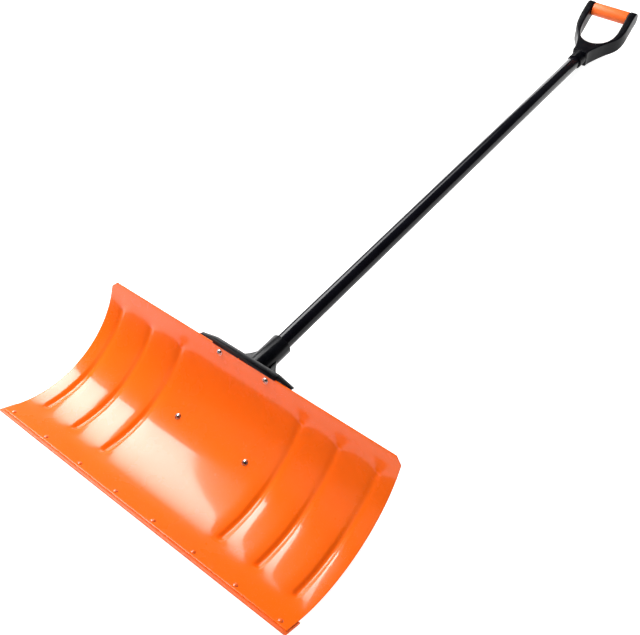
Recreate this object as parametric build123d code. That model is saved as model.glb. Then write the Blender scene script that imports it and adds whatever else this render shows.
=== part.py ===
from build123d import *
from build123d.topology import SkipClean
import os
from math import cos, degrees, radians, sin, sqrt

# Snow pusher shovel: a bent steel blade with a riveted wear strip, a moulded bracket screwed to its
# back, a straight steel tube, and a moulded D-grip with an overmoulded sleeve.
#
# Everything is drawn in the shop frame: X across the blade, Y along the blade from the cutting edge
# towards the top edge, Z out of the hollow front, with the origin on the axis of the blade's bend.
# The last section lays the finished shovel on its back.

os.makedirs("parts", exist_ok=True)

# --- Driving dimensions, in millimetres and degrees ------------------------------------------------

# Blade sheet
BLADE_WIDTH = 650.0
SHEET = 1.5
BEND_R = 178.0           # front face of the bend
BEND_ANGLE = 94.0
LOWER_FLAT = 30.0        # flat margins below and above the bend
UPPER_FLAT = 24.0
CORNER = 12.0            # cut off the two top corners

# Pressed ribs, grooves from the front
RIB_ROWS = 3             # on each side of the middle
RIB_INNER_X = 137.0
RIB_PITCH = 77.0
RIB_HALF_WIDTH = 13.0
RIB_DEPTH = 6.0
RIB_LOW_GAP = 26.0       # from the ends of the bend to the tips of the ribs
RIB_HIGH_GAP = 11.0

# Wear strip and its rivets
STRIP = 3.0
STRIP_HEIGHT = 36.0
STRIP_PROUD = 6.0        # past the blade's lower edge
STRIP_SIDE = 3.0         # past the blade's ends
RIVETS = 8
RIVET_IN = 18.0          # from the blade's ends
RIVET_UP = 8.5           # from the blade's lower edge
RIVET_R = 2.0
RIVET_HEAD_R = 4.2
RIVET_HEAD = 1.8
RIVET_TAIL_R = 3.2
RIVET_TAIL = 1.0

# Bracket plate and lip
PLATE = 4.0
PLATE_TOP_HALF = 103.0   # half width at the blade's top edge
PLATE_LOW_HALF = 95.0
PLATE_FOOT = 17.0        # below the middle screws
PLATE_ROUND = 12.0
WINDOW_HALF = 42.0       # arched gap between the legs
WINDOW_TOP = 84.0        # below the top edge
RIM = 3.0                # rim round the plate
RIM_HIGH = 5.0
FLANGE = 9.0
FLANGE_RISE = 7.0        # above the blade's top edge
FLANGE_SLOPE = 33.0      # sloping ends of the rise
RIM_DOWN = 20.0          # rim and leg webs begin below the top edge
LIP_HALF = 70.0
LIP_FRONT = 1.2          # in front of the blade
LIP_DROP = 1.2           # down the blade's front
NOTCH_X = -10.0
NOTCH_HALF = 2.0

# Bracket socket, gusset and webs
SOCKET_WALL = 5.3
SOCKET_BACK = 49.0       # axis behind the blade's top edge
SOCKET_TILT = 17.5       # axis back from the shop frame's Y
SOCKET_UP = 79.0         # mouth above the top edge, along the axis
SOCKET_DOWN = 18.0
GUSSET = 8.0
GUSSET_HALF = 92.0
GUSSET_UP = 46.0
GUSSET_END = 3.0
GUSSET_ROOT = 2.0        # of its sides, inside the socket's wall
GUSSET_WAIST = 0.2       # share of its reach that is left at half its height
WEB = 4.0
WEB_X = 29.0
WEB_END_X = 80.0
LEG_WEB_HIGH = 8.0
BOSS_R = 9.0
BOSS = 2.0

# Screws, washers and nuts
SCREW_R = 2.5
SCREW_GAP = 0.25
HEAD_R = 4.8
HEAD = 3.0
RECESS = 1.8
RECESS_HALF = 2.3
RECESS_SLOT = 1.0
WASHER = 1.0
WASHER_R = 5.5
NUT = 4.0
NUT_FLATS = 8.0
SCREW_TIP = 1.2
UPPER_SCREW_X = 52.0
UPPER_SCREW_DOWN = 11.0  # below the top edge
MIDDLE_SCREW_X = 79.0
MIDDLE_SCREW_DOWN = 155.0
TAPPING_R = 2.0
TAPPING_HEAD_R = 4.0
TAPPING_LENGTH = 9.0
TAPPING_IN = 20.0        # from the socket's mouth
SUNK = 0.4               # collar screw's head below the collar's face
SUNK_FLOOR = 0.6         # collar left under the head

# Tube
TUBE_R = 15.0
TUBE_WALL = 1.2
TUBE_LENGTH = 1215.0
TUBE_FOOT = 12.0         # lower end above the top edge, along the axis
TUBE_FIT = 0.15          # round gap in the socket and in the collar

# D-grip and sleeve
COLLAR_WALL = 2.6
COLLAR_DEPTH = 46.0      # tube inside the grip
COLLAR_BAND = 25.0       # plain collar below the yoke
YOKE_FOOT_HALF = 19.0
YOKE_DEPTH = 38.0        # front to back at the foot
BAR_UP = 133.0           # bar above the tube's upper end
BAR_FORWARD = 44.0
BAR_R = 9.0
SLEEVE_R = 15.5
SLEEVE_LENGTH = 91.0
SLEEVE_GAP = 0.5         # at each ear
EAR = 17.5
EAR_R = 17.0
EAR_LEAN = 22.0          # lean of the arms at the ears
WAIST_FORWARD = 13.0     # middle of the arms in front of the tube's axis
NECK_HALF = 24.0
NECK_UP = 27.0           # above the foot
SHOULDER_HALF = 40.0
SHOULDER_UP = 16.0       # above the bottom of the opening
ARM_DEPTH = 34.0
OPENING_BELOW = 105.5    # bottom of the opening below the bar
OPENING_BEND = 62.0      # height of its rounded bottom
WIDE_UP = 74.5           # where the arms reach their full width, above the opening's bottom
GRIP_ROUND = 3.0
COLLAR_EDGE = 0.8
SLEEVE_EDGE = 1.2

# Making
CUT_THROUGH = 24.0       # length of the tools that cut through the sheets
REST_STEP = 0.0005       # degrees
ROOT = 1.0               # how far a shape runs into the one that it joins or cuts
HEAD_ROOT = 0.05         # the same for a shank in its head

# --- The blade's section --------------------------------------------------------------------------

BEND_ARC = BEND_R * radians(BEND_ANGLE)
LOW_EDGE = -BEND_ARC / 2 - LOWER_FLAT
TOP_EDGE = BEND_ARC / 2 + UPPER_FLAT
STRIP_EDGE = LOW_EDGE - STRIP_PROUD


def turn_at(arc):
    """Angle of the sheet at an arc length from the middle of the bend, in radians."""
    return max(-BEND_ARC / 2, min(BEND_ARC / 2, arc)) / BEND_R


def on_sheet(arc, depth):
    """Point of the section at an arc length, and at a depth behind the blade's front face."""
    turn = turn_at(arc)
    flat = arc - turn * BEND_R
    reach = BEND_R + depth
    return Vector(0, reach * sin(turn) + flat * cos(turn), flat * sin(turn) - reach * cos(turn))


def sheet_plane(x, arc, depth=0.0):
    """Plane on the sheet: its X across, its Y up the sheet and its Z out of the front."""
    turn = turn_at(arc)
    origin = on_sheet(arc, depth) + Vector(x, 0, 0)
    return Plane(origin=origin, x_dir=(1, 0, 0), z_dir=(0, -sin(turn), cos(turn)))


def layer(low, high, front, back, half):
    """Solid that follows the sheet between two arc lengths and two depths."""
    bends = [arc for arc in (-BEND_ARC / 2, BEND_ARC / 2) if low < arc < high]
    stops = [low, *bends, high]
    edges = []
    for depth in (front, back):
        for start, end in zip(stops, stops[1:]):
            middle = (start + end) / 2
            ends = on_sheet(start, depth), on_sheet(end, depth)
            if abs(middle) < BEND_ARC / 2:
                edges.append(ThreePointArc(ends[0], on_sheet(middle, depth), ends[1]))
            else:
                edges.append(Line(*ends))
    edges.append(Line(on_sheet(low, front), on_sheet(low, back)))
    edges.append(Line(on_sheet(high, front), on_sheet(high, back)))
    return extrude(make_face(edges), amount=half, both=True, dir=(1, 0, 0))


def mirrored(values):
    return [-value for value in reversed(values)] + list(values)


def on_sheet_holes(places, radius):
    """Cylinders across the sheet at a list of (x, arc)."""
    return [sheet_plane(x, arc) * Cylinder(radius, CUT_THROUGH) for x, arc in places]


def lathe(*points):
    """Solid turned about Z from a closed outline of (radius, height)."""
    outline = Polyline(*[(r, 0, z) for r, z in points], close=True)
    return revolve(make_face(outline), Axis.Z)


# --- Places of the fasteners ----------------------------------------------------------------------

rivet_step = (BLADE_WIDTH - 2 * RIVET_IN) / (RIVETS - 1)
rivet_places = [(RIVET_IN - BLADE_WIDTH / 2 + i * rivet_step, LOW_EDGE + RIVET_UP) for i in range(RIVETS)]
upper_places = [(x, TOP_EDGE - UPPER_SCREW_DOWN) for x in mirrored([UPPER_SCREW_X])]
middle_places = [(x, TOP_EDGE - MIDDLE_SCREW_DOWN) for x in mirrored([MIDDLE_SCREW_X])]

# --- Blade ----------------------------------------------------------------------------------------

RIB_R = (RIB_HALF_WIDTH**2 + RIB_DEPTH**2) / (2 * RIB_DEPTH)
RIB_LOW = -BEND_ARC / 2 + RIB_LOW_GAP + RIB_HALF_WIDTH
RIB_HIGH = BEND_ARC / 2 - RIB_HIGH_GAP - RIB_HALF_WIDTH
rib_xs = mirrored([RIB_INNER_X + i * RIB_PITCH for i in range(RIB_ROWS)])


def ribbed_edge(depth):
    """Edges of the ribbed section, X and radius, at a depth behind the front face."""
    level = BEND_R + depth
    reach = sqrt((RIB_R + depth) ** 2 - (RIB_R - RIB_DEPTH + depth) ** 2)
    edges = []
    x = -BLADE_WIDTH / 2
    for rib in rib_xs:
        edges.append(Line((x, level), (rib - reach, level)))
        edges.append(ThreePointArc((rib - reach, level), (rib, level + RIB_DEPTH), (rib + reach, level)))
        x = rib + reach
    return edges + [Line((x, level), (BLADE_WIDTH / 2, level))]


def rib_balls(arc, radius, turn):
    """Half balls that round the ends of the ribs."""
    half_disc = make_face([
        ThreePointArc((0, 0, -radius), (radius, 0, 0), (0, 0, radius)),
        Line((0, 0, radius), (0, 0, -radius)),
    ])
    half_ball = Rot(Z=turn) * revolve(half_disc, Axis.Z, revolution_arc=180)
    return [sheet_plane(x, arc, RIB_DEPTH - RIB_R) * half_ball for x in rib_xs]


def end_band(low, high, arc, turn):
    """Sheet beyond one end of the ribs, with their rounded ends pressed into it."""
    band = layer(low, high, 0, SHEET, BLADE_WIDTH / 2)
    band = band.fuse(*[ball - front_round for ball in rib_balls(arc, RIB_R + SHEET, turn)])
    return band.cut(*rib_balls(arc, RIB_R, turn))


front_round = Rot(Y=90) * Cylinder(BEND_R, BLADE_WIDTH)
blade_ends = [Line((x, BEND_R), (x, BEND_R + SHEET)) for x in mirrored([BLADE_WIDTH / 2])]
rib_start = sheet_plane(0, RIB_LOW)
section_plane = Plane(origin=(0, 0, 0), x_dir=(1, 0, 0), z_dir=rib_start.y_dir)
section = section_plane * make_face(ribbed_edge(0) + ribbed_edge(SHEET) + blade_ends)
ribbed_sheet = revolve(section, Axis.X, revolution_arc=degrees((RIB_HIGH - RIB_LOW) / BEND_R))

corner_cut = Rot(Z=45) * Box(CORNER * sqrt(2), CORNER * sqrt(2), CUT_THROUGH)
blade_cuts = [sheet_plane(x, TOP_EDGE) * corner_cut for x in mirrored([BLADE_WIDTH / 2])]
blade_cuts += on_sheet_holes(rivet_places, RIVET_R)
blade_cuts += on_sheet_holes(upper_places + middle_places, SCREW_R + SCREW_GAP)
with SkipClean():
    # The strips between the ribs stay separate faces.
    blade = ribbed_sheet.fuse(end_band(RIB_HIGH, TOP_EDGE, RIB_HIGH, 0))
    blade = blade.fuse(end_band(LOW_EDGE, RIB_LOW, RIB_LOW, 180))
    blade = blade.cut(*blade_cuts)

# --- Wear strip and rivets ------------------------------------------------------------------------

strip_half = BLADE_WIDTH / 2 + STRIP_SIDE
wear_strip = layer(STRIP_EDGE, STRIP_EDGE + STRIP_HEIGHT, SHEET, SHEET + STRIP, strip_half)
wear_strip -= on_sheet_holes(rivet_places, RIVET_R)


def rivet():
    """Rivet with its domed head on the blade and its tail on the strip."""
    grip = SHEET + STRIP
    dome_r = (RIVET_HEAD_R**2 + RIVET_HEAD**2) / (2 * RIVET_HEAD)
    dome = Pos(0, 0, RIVET_HEAD - dome_r) * Sphere(dome_r)
    head = dome & Pos(0, 0, RIVET_HEAD / 2) * Cylinder(RIVET_HEAD_R + 1, RIVET_HEAD)
    shank = lathe(
        (0, HEAD_ROOT), (RIVET_R, HEAD_ROOT), (RIVET_R, -grip), (RIVET_TAIL_R, -grip),
        (RIVET_TAIL_R, -grip - RIVET_TAIL / 2), (RIVET_R, -grip - RIVET_TAIL), (0, -grip - RIVET_TAIL),
    )
    return head + shank


strip_rivets = [sheet_plane(x, arc) * rivet() for x, arc in rivet_places]

# --- Handle frame: Z along the tube, Y to the back, X across --------------------------------------

tilt = radians(SOCKET_TILT)
axis_foot = on_sheet(TOP_EDGE, 0) - Vector(0, 0, SOCKET_BACK)
HANDLE = Plane(origin=axis_foot, x_dir=(1, 0, 0), z_dir=(0, cos(tilt), -sin(tilt)))
SOCKET_R = TUBE_R + TUBE_FIT + SOCKET_WALL
TUBE_TOP = TUBE_FOOT + TUBE_LENGTH
COLLAR_FOOT = TUBE_TOP - COLLAR_DEPTH
COLLAR_R = TUBE_R + TUBE_FIT + COLLAR_WALL


def handle_point(back, up):
    return HANDLE.from_local_coords(Vector(0, back, up))


def rod(radius, low, high):
    """Cylinder on the tube's axis, in the handle frame."""
    return Pos(0, 0, (low + high) / 2) * Cylinder(radius, high - low)


def slab(x, width, *points):
    """Flat web across X from an outline in the shop frame's Y and Z."""
    outline = Polyline(*[point + Vector(x - point.X, 0, 0) for point in points], close=True)
    return extrude(make_face(outline), amount=width / 2, both=True, dir=(1, 0, 0))


def prism(*points, round_low=0.0):
    """Tall block along Z over an outline in X and Y, with its two lowest corners rounded."""
    face = make_face(Polyline(*points, close=True))
    if round_low:
        face = fillet(face.vertices().sort_by(Axis.Y)[:2], round_low)
    return Pos(0, 0, -2 * BEND_R) * extrude(face, amount=2 * BEND_R)


# --- Bracket --------------------------------------------------------------------------------------

PLATE_BACK = SHEET + PLATE
foot_arc = TOP_EDGE - MIDDLE_SCREW_DOWN - PLATE_FOOT
top_y = on_sheet(TOP_EDGE, PLATE_BACK).Y
foot_y = on_sheet(foot_arc, PLATE_BACK).Y
window_y = on_sheet(TOP_EDGE - WINDOW_TOP, PLATE_BACK).Y


def plate_outline(inset):
    """Tapered plate outline with its lower corners rounded and an arched gap between the legs."""
    top = PLATE_TOP_HALF - inset
    low = PLATE_LOW_HALF - inset
    gap = WINDOW_HALF + inset
    body = prism(
        (-low, foot_y + inset), (low, foot_y + inset),
        (top, top_y + PLATE_BACK), (-top, top_y + PLATE_BACK),
        round_low=PLATE_ROUND - inset,
    )
    arch_y = window_y - WINDOW_HALF
    arch = prism((-gap, foot_y - gap), (gap, foot_y - gap), (gap, arch_y), (-gap, arch_y))
    arch += Pos(0, arch_y, -BEND_R) * Cylinder(gap, 2 * BEND_R)
    return body - arch


plate = layer(foot_arc, TOP_EDGE, SHEET, PLATE_BACK, PLATE_TOP_HALF) & plate_outline(0)
rim_band = layer(foot_arc, TOP_EDGE - RIM_DOWN, PLATE_BACK - ROOT, PLATE_BACK + RIM_HIGH, PLATE_TOP_HALF)
rim = (rim_band & plate_outline(0)) - plate_outline(RIM)

# Rim above the blade's top edge, and the lip that hooks over it
rise_half = PLATE_TOP_HALF - FLANGE_SLOPE
rise = sheet_plane(0, TOP_EDGE, SHEET) * extrude(
    make_face(Polyline(
        (-PLATE_TOP_HALF, -ROOT), (-PLATE_TOP_HALF, 0), (-rise_half, FLANGE_RISE),
        (rise_half, FLANGE_RISE), (PLATE_TOP_HALF, 0), (PLATE_TOP_HALF, -ROOT), close=True,
    )),
    amount=-FLANGE,
)
lip_plane = sheet_plane(0, TOP_EDGE, SHEET)
lip_thick = SHEET + LIP_FRONT
lip = lip_plane * Pos(0, FLANGE_RISE / 2, lip_thick / 2) * Box(2 * LIP_HALF, FLANGE_RISE, lip_thick)
hook_plane = sheet_plane(0, TOP_EDGE, 0)
hook = hook_plane * Pos(0, -LIP_DROP / 2, LIP_FRONT / 2) * Box(2 * LIP_HALF, LIP_DROP, LIP_FRONT)
notch = Pos(NOTCH_X, -LIP_DROP / 2, LIP_FRONT / 2) * Box(2 * NOTCH_HALF, LIP_DROP, 2 * LIP_FRONT)
hook -= hook_plane * notch

# Socket and the curved gusset that spreads it to the ends of the plate
socket = HANDLE * rod(SOCKET_R, -SOCKET_DOWN, SOCKET_UP)
gusset_root = SOCKET_R - GUSSET_ROOT
gusset_waist = SOCKET_R + GUSSET_WAIST * (GUSSET_HALF - SOCKET_R)
gusset_side = ThreePointArc(
    (gusset_root, GUSSET_UP), (gusset_waist, GUSSET_UP / 2), (GUSSET_HALF, GUSSET_END)
)
gusset_low = -GUSSET_UP
gusset_half = make_face([
    gusset_side,
    Line((GUSSET_HALF, GUSSET_END), (GUSSET_HALF, gusset_low)),
    Line((GUSSET_HALF, gusset_low), (0, gusset_low)),
    Line((0, gusset_low), (0, GUSSET_UP)),
    Line((0, GUSSET_UP), (gusset_root, GUSSET_UP)),
])
gusset_face = gusset_half + mirror(gusset_half, Plane.YZ)
gusset = HANDLE * Rot(X=90) * extrude(gusset_face, amount=GUSSET / 2, both=True)

# Webs between the flange, the gusset and the socket
webs = []
for x in mirrored([WEB_X, WEB_END_X]) + [0]:
    reach = GUSSET_END if abs(x) == WEB_END_X else SOCKET_DOWN
    webs.append(slab(
        x, WEB, on_sheet(TOP_EDGE + FLANGE_RISE / 2, SHEET + ROOT), handle_point(0, reach),
        handle_point(0, gusset_low), on_sheet(TOP_EDGE - GUSSET_UP, SHEET + ROOT),
    ))

# Webs down the legs, from the gusset to the middle screws
leg_arcs = TOP_EDGE - MIDDLE_SCREW_DOWN, TOP_EDGE - RIM_DOWN
leg_band = layer(*leg_arcs, SHEET + ROOT, PLATE_BACK + LEG_WEB_HIGH, PLATE_TOP_HALF)
legs = []
for x in mirrored([1]):
    start = Vector(x * WEB_X, on_sheet(leg_arcs[1], PLATE_BACK).Y)
    stop = Vector(x * MIDDLE_SCREW_X, on_sheet(leg_arcs[0], PLATE_BACK).Y)
    along = (stop - start).normalized()
    stop = stop - along * BOSS_R
    side = Vector(-along.Y, along.X) * (WEB / 2)
    corners = [start + side, start - side, stop - side, stop + side]
    legs.append(leg_band & prism(*[(c.X, c.Y) for c in corners]))

boss_place = Pos(0, 0, (PLATE - BOSS) / 2)
boss = boss_place * Cylinder(BOSS_R, PLATE + BOSS)
bosses = [sheet_plane(x, arc, PLATE_BACK) * boss for x, arc in middle_places]

# Everything the bracket must leave free: the blade, the tube and the screws
blade_room = layer(LOW_EDGE, TOP_EDGE, -BEND_R / 2, SHEET, BLADE_WIDTH / 2)
front_room = Pos(0, BEND_R / 2, BEND_R / 4) * Box(BLADE_WIDTH, BEND_R, BEND_R / 2)
front_room = lip_plane * front_room
backbone = plate + rim + rise + socket + gusset + webs + legs + bosses
backbone -= blade_room
backbone -= front_room
blade_bracket = backbone + (lip + hook)
blade_bracket -= HANDLE * rod(TUBE_R + TUBE_FIT, TUBE_FOOT, SOCKET_UP + 1)
blade_bracket -= on_sheet_holes(upper_places + middle_places, SCREW_R + SCREW_GAP)
for x, arc in upper_places:
    blade_bracket -= sheet_plane(x, arc, PLATE_BACK) * Pos(0, 0, -2 * NUT) * Cylinder(WASHER_R + 1, 4 * NUT)

# --- Screws, washers and nuts ---------------------------------------------------------------------

# A flat washer on the hollow of the bend stands on its edge.
crown = WASHER_R**2 / (2 * BEND_R)


def pan_head(radius, height):
    """Domed head on Z = 0 with a cross recess."""
    dome_r = (radius**2 + height**2) / (2 * height)
    dome = Pos(0, 0, height - dome_r) * Sphere(dome_r)
    head = dome & Pos(0, 0, height / 2) * Cylinder(radius + 1, height)
    for turn in (45, 135):
        head -= Pos(0, 0, height) * Rot(Z=turn) * Box(2 * RECESS_HALF, RECESS_SLOT, 2 * RECESS)
    return head


def washer():
    return Cylinder(WASHER_R, WASHER) - Cylinder(SCREW_R + SCREW_GAP, 2 * WASHER)


def nut():
    flats = extrude(RegularPolygon(NUT_FLATS / 2, 6, major_radius=False), amount=NUT / 2, both=True)
    return flats - Cylinder(SCREW_R, 2 * NUT)


def screw(grip, raised):
    """Machine screw: head on its front washer, tip past its nut."""
    seat = raised + WASHER
    tip = -grip - WASHER - NUT - SCREW_TIP
    root = seat + HEAD_ROOT
    shank = Pos(0, 0, (root + tip) / 2) * Cylinder(SCREW_R, root - tip)
    return Pos(0, 0, seat) * pan_head(HEAD_R, HEAD) + shank


def fastener_set(places, grip, raised):
    """Screws, front washers, back washers and nuts at a list of (x, arc)."""
    sheets = [sheet_plane(x, arc) for x, arc in places]
    screws = [sheet * screw(grip, raised) for sheet in sheets]
    front = [sheet * Pos(0, 0, raised + WASHER / 2) * washer() for sheet in sheets]
    back = [sheet * Pos(0, 0, -grip - WASHER / 2) * washer() for sheet in sheets]
    nuts = [sheet * Pos(0, 0, -grip - WASHER - NUT / 2) * nut() for sheet in sheets]
    return screws, front, back, nuts


boss_back = PLATE_BACK + BOSS
upper_screws, upper_washers, upper_back, upper_nuts = fastener_set(upper_places, PLATE_BACK, 0.0)
middle_screws, middle_washers, middle_back, middle_nuts = fastener_set(middle_places, boss_back, crown)


def tapping_screw(head):
    """Screw that cuts its own thread: head on Z = 0, point inwards."""
    point = 2 * TAPPING_R
    shank = lathe(
        (0, HEAD_ROOT), (TAPPING_R, HEAD_ROOT),
        (TAPPING_R, point - TAPPING_LENGTH), (0, -TAPPING_LENGTH),
    )
    return head + shank


# Behind the socket the head stands on the plastic. Behind the collar it is sunk level with it.
socket_screw_place = HANDLE * Pos(0, SOCKET_R, SOCKET_UP - TAPPING_IN) * Rot(X=-90)
socket_screw = socket_screw_place * tapping_screw(pan_head(TAPPING_HEAD_R, HEAD * TAPPING_HEAD_R / HEAD_R))
collar_screw_place = HANDLE * Pos(0, COLLAR_R, COLLAR_FOOT + COLLAR_BAND / 2) * Rot(X=-90)
sunk = COLLAR_WALL - SUNK_FLOOR
countersink = lathe((0, -SUNK), (TAPPING_HEAD_R, -SUNK), (TAPPING_R, -sunk), (0, -sunk))
collar_screw = collar_screw_place * tapping_screw(countersink)
collar_screw -= collar_screw_place * Pos(0, 0, 1 - SUNK) * Cylinder(TAPPING_HEAD_R, 2)
for turn in (45, 135):
    collar_screw -= collar_screw_place * Rot(Z=turn) * Box(2 * RECESS_SLOT, RECESS_SLOT, RECESS)
blade_bracket -= socket_screw_place * Pos(0, 0, -TAPPING_LENGTH / 2) * Cylinder(TAPPING_R, TAPPING_LENGTH)

# --- Tube -----------------------------------------------------------------------------------------

tube_bore = rod(TUBE_R - TUBE_WALL, TUBE_FOOT - ROOT, TUBE_TOP + ROOT)
handle_tube = HANDLE * (rod(TUBE_R, TUBE_FOOT, TUBE_TOP) - tube_bore)
for place in (socket_screw_place, collar_screw_place):
    handle_tube -= place * Pos(0, 0, -TAPPING_LENGTH / 2) * Cylinder(TAPPING_R, TAPPING_LENGTH)

# --- D-grip, drawn in the handle frame ------------------------------------------------------------

BAR_Z = TUBE_TOP + BAR_UP
EAR_IN = SLEEVE_LENGTH / 2 + SLEEVE_GAP
EAR_OUT = EAR_IN + EAR
YOKE_FOOT = COLLAR_FOOT + COLLAR_BAND
opening_low = BAR_Z - OPENING_BELOW

# Front view, X and Z: shoulders that sweep out from the collar, less a round-bottomed opening
wide_z = opening_low + WIDE_UP
top_z = BAR_Z + EAR_R
shoulder = Spline(
    (YOKE_FOOT_HALF, YOKE_FOOT), (NECK_HALF, YOKE_FOOT + NECK_UP),
    (SHOULDER_HALF, opening_low + SHOULDER_UP), (EAR_OUT, wide_z),
    tangents=((0, 1), (0, 1)),
)
right_side = [shoulder, Line((EAR_OUT, wide_z), (EAR_OUT, top_z))]
left_side = [mirror(edge, Plane.YZ) for edge in right_side]
ends = [
    Line((-EAR_OUT, top_z), (EAR_OUT, top_z)),
    Line((-YOKE_FOOT_HALF, YOKE_FOOT), (YOKE_FOOT_HALF, YOKE_FOOT)),
]
front_view = make_face(right_side + left_side + ends)
opening = Pos(0, opening_low + OPENING_BEND) * Ellipse(EAR_IN, OPENING_BEND)
opening += Pos(0, opening_low + 2 * OPENING_BEND) * Rectangle(2 * EAR_IN, 2 * OPENING_BEND)
front_block = Rot(X=90) * Pos(0, 0, -2 * YOKE_DEPTH) * extrude(front_view - opening, amount=4 * YOKE_DEPTH)

# Side view, Y and Z: a band that leans forward from the collar and closes round the ears
half_foot = YOKE_DEPTH / 2
bar_axis = Vector(-BAR_FORWARD, BAR_Z)
lean = Vector(-sin(radians(EAR_LEAN)), cos(radians(EAR_LEAN)))
across = Vector(lean.Y, -lean.X)
waist = Vector(-WAIST_FORWARD, (opening_low + BAR_Z) / 2)
back_edge = Spline(
    (half_foot, YOKE_FOOT), waist + across * (ARM_DEPTH / 2), bar_axis + across * EAR_R,
    tangents=((0, 1), (lean.X, lean.Y)),
)
front_edge = Spline(
    (-half_foot, YOKE_FOOT), waist - across * (ARM_DEPTH / 2), bar_axis - across * EAR_R,
    tangents=((0, 1), (lean.X, lean.Y)),
)
ear_edge = ThreePointArc(back_edge @ 1, bar_axis + lean * EAR_R, front_edge @ 1)
foot_edge = Line((-half_foot, YOKE_FOOT), (half_foot, YOKE_FOOT))
side_view = make_face([back_edge, ear_edge, front_edge, foot_edge])
side_block = Plane.YZ * Pos(0, 0, -2 * EAR_OUT) * extrude(side_view, amount=4 * EAR_OUT)
yoke = front_block & side_block
yoke = fillet(yoke.edges(), GRIP_ROUND)

bar_place = Pos(0, -BAR_FORWARD, BAR_Z) * Rot(Y=90)
collar = rod(COLLAR_R, COLLAR_FOOT, TUBE_TOP)
collar = chamfer(collar.edges().group_by(Axis.Z)[0], COLLAR_EDGE)
d_grip = HANDLE * (yoke + collar + bar_place * Cylinder(BAR_R, 2 * EAR_IN + EAR))
d_grip -= HANDLE * rod(TUBE_R + TUBE_FIT, COLLAR_FOOT - 1, TUBE_TOP)
d_grip -= collar_screw_place * Pos(0, 0, -TAPPING_LENGTH / 2) * Cylinder(TAPPING_R, TAPPING_LENGTH)
d_grip -= collar_screw_place * countersink

sleeve = Cylinder(SLEEVE_R, SLEEVE_LENGTH)
sleeve = chamfer(sleeve.edges().filter_by(GeomType.CIRCLE), SLEEVE_EDGE)
sleeve -= Cylinder(BAR_R, 2 * SLEEVE_LENGTH)
grip_sleeve = HANDLE * bar_place * sleeve

# --- Rest: the shovel lies on its back, on the ribs and the heel of the D-grip ---------------------

blade_side = [blade, wear_strip, blade_bracket, *middle_screws, *middle_nuts]
grip_side = [d_grip, collar_screw]


def lowest(shapes, tilt_angle):
    return min((Rot(X=tilt_angle) * shape).bounding_box().min.Z for shape in shapes)


# The lean that puts both ends on the floor is found between level and half a right angle.
level, steep = 0.0, 45.0
while steep - level > REST_STEP:
    lean_back = (level + steep) / 2
    if lowest(grip_side, lean_back) < lowest(blade_side, lean_back):
        level = lean_back
    else:
        steep = lean_back

nodes = {
    "blade": [blade],
    "wear_strip": [wear_strip],
    "strip_rivets": strip_rivets,
    "blade_bracket": [blade_bracket],
    "upper_screws": upper_screws,
    "upper_washers": upper_washers,
    "upper_back_washers": upper_back,
    "upper_nuts": upper_nuts,
    "middle_screws": middle_screws,
    "middle_washers": middle_washers,
    "middle_back_washers": middle_back,
    "middle_nuts": middle_nuts,
    "handle_tube": [handle_tube],
    "socket_screw": [socket_screw],
    "d_grip": [d_grip],
    "grip_sleeve": [grip_sleeve],
    "collar_screw": [collar_screw],
}
laid = {name: [Rot(X=lean_back) * shape for shape in shapes] for name, shapes in nodes.items()}
boxes = [shape.bounding_box() for shapes in laid.values() for shape in shapes]
floor = min(box.min.Z for box in boxes)
middle_y = (min(box.min.Y for box in boxes) + max(box.max.Y for box in boxes)) / 2
home = Pos(0, -middle_y, -floor)

for name, shapes in laid.items():
    solids = [home * solid for shape in shapes for solid in shape.solids()]
    export_step(Compound(children=solids) if len(solids) > 1 else solids[0], f"parts/{name}.step")
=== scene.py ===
from math import cos, exp, pi, radians, sin, sqrt

import bmesh
import bpy
from mathutils import Matrix, Vector


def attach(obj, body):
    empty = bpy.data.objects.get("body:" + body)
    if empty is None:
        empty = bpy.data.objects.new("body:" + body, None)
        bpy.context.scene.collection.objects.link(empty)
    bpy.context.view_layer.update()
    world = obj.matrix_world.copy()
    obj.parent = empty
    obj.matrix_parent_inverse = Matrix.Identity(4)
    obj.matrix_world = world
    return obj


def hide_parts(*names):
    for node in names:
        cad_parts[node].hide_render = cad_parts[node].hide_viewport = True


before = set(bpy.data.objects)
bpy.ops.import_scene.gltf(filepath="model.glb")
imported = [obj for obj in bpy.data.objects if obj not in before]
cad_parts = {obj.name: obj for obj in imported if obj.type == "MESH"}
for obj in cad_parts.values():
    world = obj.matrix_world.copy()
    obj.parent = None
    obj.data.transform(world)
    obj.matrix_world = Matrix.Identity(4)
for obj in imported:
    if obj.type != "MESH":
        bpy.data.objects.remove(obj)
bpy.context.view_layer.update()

# --- Blade ----------------------------------------------------------------------------------------
# One steel sheet 1.5 mm thick, rolled to a quarter round, with six long ribs pressed out of its back
# in soft-shouldered grooves. It is powder coated in glossy orange after pressing.

LEAN = radians(14.8724)              # the blade lies tipped back on the floor
BEND_AXIS = Vector((0.0, -0.715457, 0.1855))
BEND_R = 0.178
SHEET = 0.0015
HALF_WIDTH = 0.325
HALF_BEND = BEND_R * radians(94) / 2
LOWER_FLAT = 0.030
UPPER_FLAT = 0.024
LOW_EDGE = -HALF_BEND - LOWER_FLAT
TOP_EDGE = HALF_BEND + UPPER_FLAT
CORNER = 0.012
RIB_INNER_X = 0.137
RIB_PITCH = 0.077
RIB_XS = [side * (RIB_INNER_X + RIB_PITCH * i) for side in (-1, 1) for i in range(3)]
RIB_LOW = -HALF_BEND + 0.039
RIB_HIGH = HALF_BEND - 0.024
GROOVE_DEPTH = 0.0036
GROOVE_HALF = 0.0085
GROOVE_FADE = 0.7                     # share of the groove that is lost towards its upper end
SWELL_DEPTH = 0.0024
SWELL_HALF = 0.015
SWELL_FADE = 0.45
FADE_START = -0.05                    # where on the sheet the ribs begin to fade
FADE_LENGTH = 0.10


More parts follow.
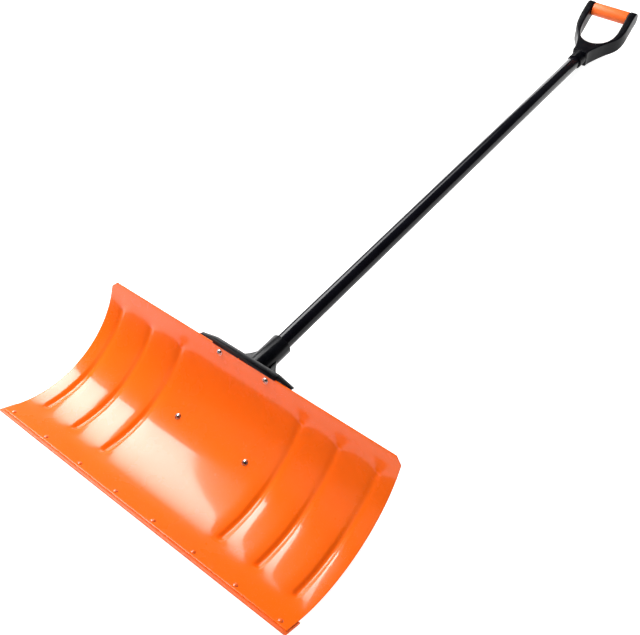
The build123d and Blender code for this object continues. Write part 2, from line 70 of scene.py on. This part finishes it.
def on_sheet(x, arc, depth):
    """Point at an arc length up the sheet and a depth behind its front face, in the row frame."""
    turn = max(-HALF_BEND, min(HALF_BEND, arc)) / BEND_R
    flat = arc - turn * BEND_R
    angle = turn + LEAN
    reach = BEND_R + depth
    y = reach * sin(angle) + flat * cos(angle)
    z = flat * sin(angle) - reach * cos(angle)
    return BEND_AXIS + Vector((x, y, z))


def sheet_matrix(x, arc, depth):
    """Place on the sheet: X across, Y up the sheet, Z out of its front."""
    up = (on_sheet(x, arc + 0.0005, 0) - on_sheet(x, arc - 0.0005, 0)).normalized()
    out = Vector((1, 0, 0)).cross(up)
    place = Matrix((Vector((1, 0, 0)), up, out)).transposed().to_4x4()
    place.translation = on_sheet(x, arc, depth)
    return place


def rib_depth(x, arc):
    """How far the sheet is pressed back: a narrow groove in a broad swell, both fading upwards."""
    depth = 0.0
    rise = max(0.0, min(1.0, (arc - FADE_START) / FADE_LENGTH))
    rise = rise * rise * (3 - 2 * rise)
    groove = GROOVE_DEPTH * (1 - GROOVE_FADE * rise)
    swell = SWELL_DEPTH * (1 - SWELL_FADE * rise)
    for rib in RIB_XS:
        past = max(RIB_LOW - arc, arc - RIB_HIGH, 0)
        away = sqrt((x - rib) ** 2 + past**2)
        if away < GROOVE_HALF:
            depth += groove * (0.5 + 0.5 * cos(pi * away / GROOVE_HALF)) ** 0.8
        if away < 3 * SWELL_HALF:
            depth += swell * exp(-((away / SWELL_HALF) ** 2))
    return min(depth, GROOVE_DEPTH + SWELL_DEPTH)


def new_piece(name, bm, material, slot, *nodes):
    """Smooth-shaded object from a bmesh, shown in place of its CAD nodes."""
    mesh = bpy.data.meshes.new(name)
    bmesh.ops.recalc_face_normals(bm, faces=bm.faces)
    for face in bm.faces:
        face.smooth = True
    bm.to_mesh(mesh)
    bm.free()
    piece = bpy.data.objects.new(name, mesh)
    bpy.context.scene.collection.objects.link(piece)
    mesh.materials.append(material)
    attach(piece, "root")
    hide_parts(*nodes)
    return piece


def bevel_rims(bm, offset):
    """Rounds the edges of a sheet, whose faces meet at more than 60 degrees."""
    shared = [edge for edge in bm.edges if len(edge.link_faces) == 2]
    rims = [edge for edge in shared if edge.calc_face_angle() > radians(60)]
    bmesh.ops.bevel(
        bm, geom=rims, offset=offset, segments=2, profile=0.5, affect="EDGES", material=-1,
    )


def thicken(bm, thickness):
    """Gives a surface its thickness behind its front face."""
    bm.normal_update()
    if sum(face.normal.z for face in bm.faces) < 0:
        bmesh.ops.reverse_faces(bm, faces=bm.faces)
    bmesh.ops.solidify(bm, geom=bm.faces[:], thickness=thickness)


# The finish of every piece comes from one group: soft mottling of its colour and gloss, and a fine
# grain in its surface.
finish_group = bpy.data.node_groups.new("Surface finish", "ShaderNodeTree")
for label, kind, value in (
    ("Colour", "NodeSocketColor", (0.5, 0.5, 0.5, 1)),
    ("Mottled colour", "NodeSocketColor", (0.4, 0.4, 0.4, 1)),
    ("Roughness low", "NodeSocketFloat", 0.3),
    ("Roughness high", "NodeSocketFloat", 0.4),
    ("Mottle scale", "NodeSocketFloat", 20.0),
    ("Grain scale", "NodeSocketFloat", 600.0),
    ("Dust", "NodeSocketFloat", 0.0),
):
    socket = finish_group.interface.new_socket(label, in_out="INPUT", socket_type=kind)
    socket.default_value = value
for label, kind in (
    ("Base Color", "NodeSocketColor"), ("Roughness", "NodeSocketFloat"), ("Height", "NodeSocketFloat"),
):
    finish_group.interface.new_socket(label, in_out="OUTPUT", socket_type=kind)


def node(tree, kind, values=(), **options):
    """Node with its options and socket values set."""
    made = tree.nodes.new(kind)
    for option, value in options.items():
        setattr(made, option, value)
    for label, value in values:
        made.inputs[label].default_value = value
    return made


tree = finish_group
given = node(tree, "NodeGroupInput")
result = node(tree, "NodeGroupOutput")
place = node(tree, "ShaderNodeTexCoord")
mottle = node(tree, "ShaderNodeTexNoise", [("Detail", 5.0), ("Roughness", 0.6)])
grain = node(tree, "ShaderNodeTexNoise", [("Detail", 3.0), ("Roughness", 0.55)])
specks = node(tree, "ShaderNodeTexNoise", [("Scale", 900.0), ("Detail", 2.0)])
for texture, scale in ((mottle, "Mottle scale"), (grain, "Grain scale")):
    tree.links.new(place.outputs["Object"], texture.inputs["Vector"])
    tree.links.new(given.outputs[scale], texture.inputs["Scale"])
tree.links.new(place.outputs["Object"], specks.inputs["Vector"])
patches = node(tree, "ShaderNodeMapRange", [("From Min", 0.35), ("From Max", 0.7)])
tree.links.new(mottle.outputs["Fac"], patches.inputs["Value"])
colours = node(tree, "ShaderNodeMix", data_type="RGBA")
tree.links.new(patches.outputs["Result"], colours.inputs[0])
tree.links.new(given.outputs["Colour"], colours.inputs[6])
tree.links.new(given.outputs["Mottled colour"], colours.inputs[7])
speckle = node(tree, "ShaderNodeMapRange", [("From Min", 0.68), ("From Max", 0.76)])
tree.links.new(specks.outputs["Fac"], speckle.inputs["Value"])
dust = node(tree, "ShaderNodeMath", operation="MULTIPLY")
tree.links.new(speckle.outputs["Result"], dust.inputs[0])
tree.links.new(given.outputs["Dust"], dust.inputs[1])
dusted = node(tree, "ShaderNodeMix", data_type="RGBA")
dusted.inputs[7].default_value = (0.62, 0.60, 0.57, 1)
tree.links.new(dust.outputs[0], dusted.inputs[0])
tree.links.new(colours.outputs[2], dusted.inputs[6])
tree.links.new(dusted.outputs[2], result.inputs["Base Color"])
gloss = node(tree, "ShaderNodeMix", data_type="FLOAT")
tree.links.new(patches.outputs["Result"], gloss.inputs[0])
tree.links.new(given.outputs["Roughness low"], gloss.inputs[2])
tree.links.new(given.outputs["Roughness high"], gloss.inputs[3])
duller = node(tree, "ShaderNodeMath", operation="MULTIPLY_ADD")
tree.links.new(dust.outputs[0], duller.inputs[0])
duller.inputs[1].default_value = 0.4
tree.links.new(gloss.outputs[0], duller.inputs[2])
tree.links.new(duller.outputs[0], result.inputs["Roughness"])
tree.links.new(grain.outputs["Fac"], result.inputs["Height"])


def finish(name, colour, mottled, roughness, bump, scales, dust=0.0, **sockets):
    """Material with the shared finish, whose other sockets are named with underscores."""
    material = bpy.data.materials.new(name)
    material.use_nodes = True
    tree = material.node_tree
    surface = tree.nodes["Principled BSDF"]
    group = node(tree, "ShaderNodeGroup", node_tree=finish_group)
    for label, value in (
        ("Colour", (*colour, 1)), ("Mottled colour", (*mottled, 1)), ("Roughness low", roughness[0]),
        ("Roughness high", roughness[1]), ("Mottle scale", scales[0]), ("Grain scale", scales[1]),
        ("Dust", dust),
    ):
        group.inputs[label].default_value = value
    raised = node(tree, "ShaderNodeBump", [("Strength", 1.0), ("Distance", bump)])
    tree.links.new(group.outputs["Base Color"], surface.inputs["Base Color"])
    tree.links.new(group.outputs["Roughness"], surface.inputs["Roughness"])
    tree.links.new(group.outputs["Height"], raised.inputs["Height"])
    tree.links.new(raised.outputs["Normal"], surface.inputs["Normal"])
    for label, value in sockets.items():
        surface.inputs[label.replace("_", " ")].default_value = value
    return material


orange_paint = finish(
    "Orange powder coat", (1.0, 0.146, 0.005), (0.97, 0.138, 0.005), (0.24, 0.30), 0.00002,
    scales=(9.0, 420.0), dust=0.25, Coat_Weight=0.6, Coat_Roughness=0.08, Coat_IOR=1.5,
    Specular_IOR_Level=0.3,
)

bm = bmesh.new()
bmesh.ops.create_grid(bm, x_segments=250, y_segments=104, size=1.0)
for vert in bm.verts:
    vert.co = Vector((vert.co.x * HALF_WIDTH, LOW_EDGE + (vert.co.y + 1) / 2 * (TOP_EDGE - LOW_EDGE), 0))
for side in (-1, 1):
    sheet = bm.verts[:] + bm.edges[:] + bm.faces[:]
    bmesh.ops.bisect_plane(
        bm, geom=sheet, plane_co=(side * (HALF_WIDTH - CORNER), TOP_EDGE, 0),
        plane_no=(side, 1, 0), clear_outer=True,
    )
for vert in bm.verts:
    x, arc = vert.co.xy
    vert.co = on_sheet(x, arc, rib_depth(x, arc))
bmesh.ops.recalc_face_normals(bm, faces=bm.faces)
thicken(bm, SHEET)
bevel_rims(bm, 0.0004)
new_piece("Blade", bm, orange_paint, "orange_paint", "blade")

# --- Wear strip -----------------------------------------------------------------------------------
# A steel bar 3 mm thick laid along the back of the blade's lower edge. It stands a little past the
# sheet, and is painted with it.

STRIP_THICK = 0.003
STRIP_PROUD = 0.006                   # past the blade's lower edge
STRIP_SIDE = 0.003                    # past the blade's ends
STRIP_HEIGHT = 0.036
STRIP_LOW = LOW_EDGE - STRIP_PROUD

strip_paint = finish(
    "Strip paint", (0.92, 0.14, 0.02), (0.82, 0.13, 0.025), (0.32, 0.45), 0.00003,
    scales=(40.0, 500.0), dust=0.4, Coat_Weight=0.3, Coat_Roughness=0.2, Specular_IOR_Level=0.3,
)

bm = bmesh.new()
bmesh.ops.create_grid(bm, x_segments=60, y_segments=8, size=1.0)
for vert in bm.verts:
    x = vert.co.x * (HALF_WIDTH + STRIP_SIDE)
    vert.co = on_sheet(x, STRIP_LOW + (vert.co.y + 1) / 2 * STRIP_HEIGHT, SHEET)
thicken(bm, STRIP_THICK)
bevel_rims(bm, 0.0005)
new_piece("Wear_strip", bm, strip_paint, "strip_paint", "wear_strip")

# --- Strip rivets ---------------------------------------------------------------------------------
# Eight steel rivets with low domed heads on the front and flattened tails on the strip. They are
# painted over with the blade.

rivet_paint = finish(
    "Rivet paint", (0.9, 0.14, 0.02), (0.8, 0.13, 0.03), (0.25, 0.4), 0.00003,
    scales=(200.0, 900.0), dust=0.3, Coat_Weight=0.8, Coat_Roughness=0.12,
)


def turned(profile):
    """Solid turned about Z from a profile of (radius, height), in 40 steps."""
    bm = bmesh.new()
    verts = [bm.verts.new((r, 0, z)) for r, z in profile]
    edges = [bm.edges.new(pair) for pair in zip(verts, verts[1:])]
    bmesh.ops.spin(
        bm, geom=verts + edges, axis=(0, 0, 1), cent=(0, 0, 0), angle=2 * pi, steps=40, use_merge=True,
    )
    bmesh.ops.remove_doubles(bm, verts=bm.verts, dist=0.000002)
    return bm


def copies(bm, places):
    """Copies of a bmesh at a list of matrices, in one new bmesh."""
    mesh = bpy.data.meshes.new("turned")
    bm.to_mesh(mesh)
    bm.free()
    joined = bmesh.new()
    for place in places:
        moved = mesh.copy()
        moved.transform(place)
        joined.from_mesh(moved)
    return joined


RIVETS = 8
RIVET_IN = 0.018                      # from the blade's ends
RIVET_UP = 0.0085                     # from the blade's lower edge

grip = SHEET + STRIP_THICK
head = [
    (0, 0.0018), (0.0012, 0.00172), (0.0022, 0.00148), (0.0031, 0.0011), (0.0038, 0.0006),
    (0.0042, 0.0001), (0.0042, -0.0001), (0.002, -0.0001),
]
tail = [
    (0.002, 0.0001), (0.0032, 0.0001), (0.0032, -0.0004), (0.0029, -0.0008), (0.0022, -0.001),
    (0, -0.001),
]
rivet_profile = head + [(r, z - grip) for r, z in tail]
rivet_step = 2 * (HALF_WIDTH - RIVET_IN) / (RIVETS - 1)
rivet_xs = [RIVET_IN - HALF_WIDTH + i * rivet_step for i in range(RIVETS)]
places = [sheet_matrix(x, LOW_EDGE + RIVET_UP, 0) for x in rivet_xs]
bm = copies(turned(rivet_profile), places)
new_piece("Strip_rivets", bm, rivet_paint, "strip_paint", "strip_rivets")

# --- Bracket --------------------------------------------------------------------------------------
# A moulding in black plastic screwed to the blade's back: a ribbed plate with two legs, a lip over
# the top edge, and a webbed socket for the tube. Its skin has a fine moulded grain.

black_plastic = finish(
    "Black moulded plastic", (0.0015, 0.0016, 0.0028), (0.003, 0.0032, 0.005), (0.28, 0.40), 0.00004,
    scales=(60.0, 1400.0), dust=0.03, Specular_IOR_Level=0.10, Coat_Weight=0.15, Coat_Roughness=0.10,
)


def softened(name, node_name, material, slot, width):
    """Copy of a CAD node with its edges a little rounded, shown in its place."""
    bm = bmesh.new()
    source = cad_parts[node_name]
    bm.from_mesh(source.data)
    bm.transform(source.matrix_world)
    bmesh.ops.remove_doubles(bm, verts=bm.verts, dist=0.000005)
    bmesh.ops.dissolve_limit(
        bm, angle_limit=radians(0.5), use_dissolve_boundaries=False, verts=bm.verts, edges=bm.edges,
    )
    piece = new_piece(name, bm, material, slot, node_name)
    rounding = piece.modifiers.new("Edges", "BEVEL")
    rounding.width = width
    rounding.segments = 2
    rounding.limit_method = "ANGLE"
    rounding.angle_limit = radians(28)
    rounding.harden_normals = True


softened("Blade_bracket", "blade_bracket", black_plastic, "black_plastic", 0.0007)

# --- Screws, washers and nuts ---------------------------------------------------------------------
# Zinc plated M5 screws with domed heads and cross recesses, on flat washers, with washers and
# hexagon nuts behind the bracket.

zinc = finish(
    "Zinc plate", (0.72, 0.71, 0.72), (0.55, 0.54, 0.55), (0.18, 0.34), 0.00002,
    scales=(300.0, 1500.0), Metallic=1.0,
)
for name in (
    "upper_screws", "upper_washers", "upper_back_washers", "upper_nuts", "middle_screws", "middle_washers",
    "middle_back_washers", "middle_nuts", "socket_screw", "collar_screw",
):
    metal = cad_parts[name]
    metal.data.materials.clear()
    metal.data.materials.append(zinc)

# --- Tube -----------------------------------------------------------------------------------------
# A welded steel tube, 30 mm across with a 1.2 mm wall, painted gloss black.

tube_paint = finish(
    "Black tube paint", (0.003, 0.003, 0.005), (0.005, 0.005, 0.008), (0.16, 0.24), 0.000012,
    scales=(25.0, 500.0), dust=0.03, Coat_Weight=0.25, Coat_Roughness=0.06, Specular_IOR_Level=0.12,
)
softened("Handle_tube", "handle_tube", tube_paint, "black_paint", 0.0002)

# --- D-grip ---------------------------------------------------------------------------------------
# A moulding in the same black plastic, pushed over the tube's end and held by one screw.

softened("D_grip", "d_grip", black_plastic, "black_plastic", 0.0003)

# --- Sleeve ---------------------------------------------------------------------------------------
# A sleeve of soft orange rubber moulded over the grip's bar, with rounded rims.

sleeve_rubber = finish(
    "Orange rubber", (0.93, 0.15, 0.018), (0.86, 0.13, 0.016), (0.38, 0.50), 0.00008,
    scales=(60.0, 900.0), dust=0.2, Specular_IOR_Level=0.5,
)
softened("Grip_sleeve", "grip_sleeve", sleeve_rubber, "orange_rubber", 0.0006)

# --- Floor, light and camera ----------------------------------------------------------------------
# A plain white floor, a bright low surround with a dimmer ceiling, one big soft panel overhead on
# the left that fades towards its far end, and a key light from the front.


def level_sheet(name, low, high, height, material):
    """Flat stage piece between two corners, at a height."""
    bm = bmesh.new()
    bmesh.ops.create_grid(bm, x_segments=1, y_segments=1, size=1.0)
    for vert in bm.verts:
        vert.co.x = (low[0] + high[0] + vert.co.x * (high[0] - low[0])) / 2
        vert.co.y = (low[1] + high[1] + vert.co.y * (high[1] - low[1])) / 2
        vert.co.z = height
    mesh = bpy.data.meshes.new(name)
    bm.to_mesh(mesh)
    bm.free()
    mesh.materials.append(material)
    made = bpy.data.objects.new(name, mesh)
    bpy.context.scene.collection.objects.link(made)
    return made


floor_paint = bpy.data.materials.new("Floor")
floor_paint.use_nodes = True
floor_surface = floor_paint.node_tree.nodes["Principled BSDF"]
floor_surface.inputs["Base Color"].default_value = (0.5, 0.5, 0.5, 1)
floor_surface.inputs["Roughness"].default_value = 0.9
floor_surface.inputs["Specular IOR Level"].default_value = 0.0
floor_surface.inputs["Emission Color"].default_value = (1, 1, 1, 1)
floor_surface.inputs["Emission Strength"].default_value = 0.95
level_sheet("Floor", (-30, -30), (30, 30), -0.0005, floor_paint)

panel_light = bpy.data.materials.new("Soft panel")
panel_light.use_nodes = True
tree = panel_light.node_tree
tree.nodes.clear()
output = node(tree, "ShaderNodeOutputMaterial")
glow = node(tree, "ShaderNodeEmission")
place = node(tree, "ShaderNodeTexCoord")
split = node(tree, "ShaderNodeSeparateXYZ")
fade = node(
    tree, "ShaderNodeMapRange", [("From Min", 0.2), ("From Max", 3.4), ("To Min", 14.0), ("To Max", 0.5)],
)
tree.links.new(place.outputs["Object"], split.inputs[0])
tree.links.new(split.outputs["Y"], fade.inputs["Value"])
tree.links.new(fade.outputs["Result"], glow.inputs["Strength"])
tree.links.new(glow.outputs[0], output.inputs["Surface"])
panel = level_sheet("Soft_panel", (-3.6, -0.68), (-1.08, 3.6), 2.0, panel_light)
panel.visible_camera = False

# The key light brightens the paint without a mirror image of its own.
key_data = bpy.data.lights.new("Key_light", "SUN")
key_data.energy = 1.45
key_data.angle = radians(40)
key_light = bpy.data.objects.new("Key_light", key_data)
key_light.rotation_euler = Vector((-0.2, -0.6, 0.8)).to_track_quat("Z", "Y").to_euler()
key_light.visible_glossy = False
bpy.context.scene.collection.objects.link(key_light)

world = bpy.data.worlds.new("Surround")
bpy.context.scene.world = world
world.use_nodes = True
tree = world.node_tree
backdrop = tree.nodes["Background"]
place = node(tree, "ShaderNodeTexCoord")
split = node(tree, "ShaderNodeSeparateXYZ")
rise = node(
    tree, "ShaderNodeMapRange", [("From Min", 0.38), ("From Max", 0.5), ("To Min", 1.0), ("To Max", 0.50)],
)
tree.links.new(place.outputs["Generated"], split.inputs[0])
tree.links.new(split.outputs["Z"], rise.inputs["Value"])
tree.links.new(rise.outputs["Result"], backdrop.inputs["Strength"])

camera_data = bpy.data.cameras.new("Camera")
camera_data.sensor_width = 36.0
camera_data.sensor_fit = "HORIZONTAL"
camera_data.lens = 47.62
camera = bpy.data.objects.new("Camera", camera_data)
bpy.context.scene.collection.objects.link(camera)
forward = Vector((-0.4426, 0.4643, -0.7672)).normalized()
upward = Vector((-0.438, 0.6345, 0.6368))
upward = (upward - forward * upward.dot(forward)).normalized()
right = forward.cross(upward)
camera.matrix_world = Matrix((right, upward, -forward)).transposed().to_4x4()
camera.matrix_world.translation = Vector((0.698, -1.0815, 1.2495))
bpy.context.scene.camera = camera
bpy.context.scene.view_settings.view_transform = "Standard"
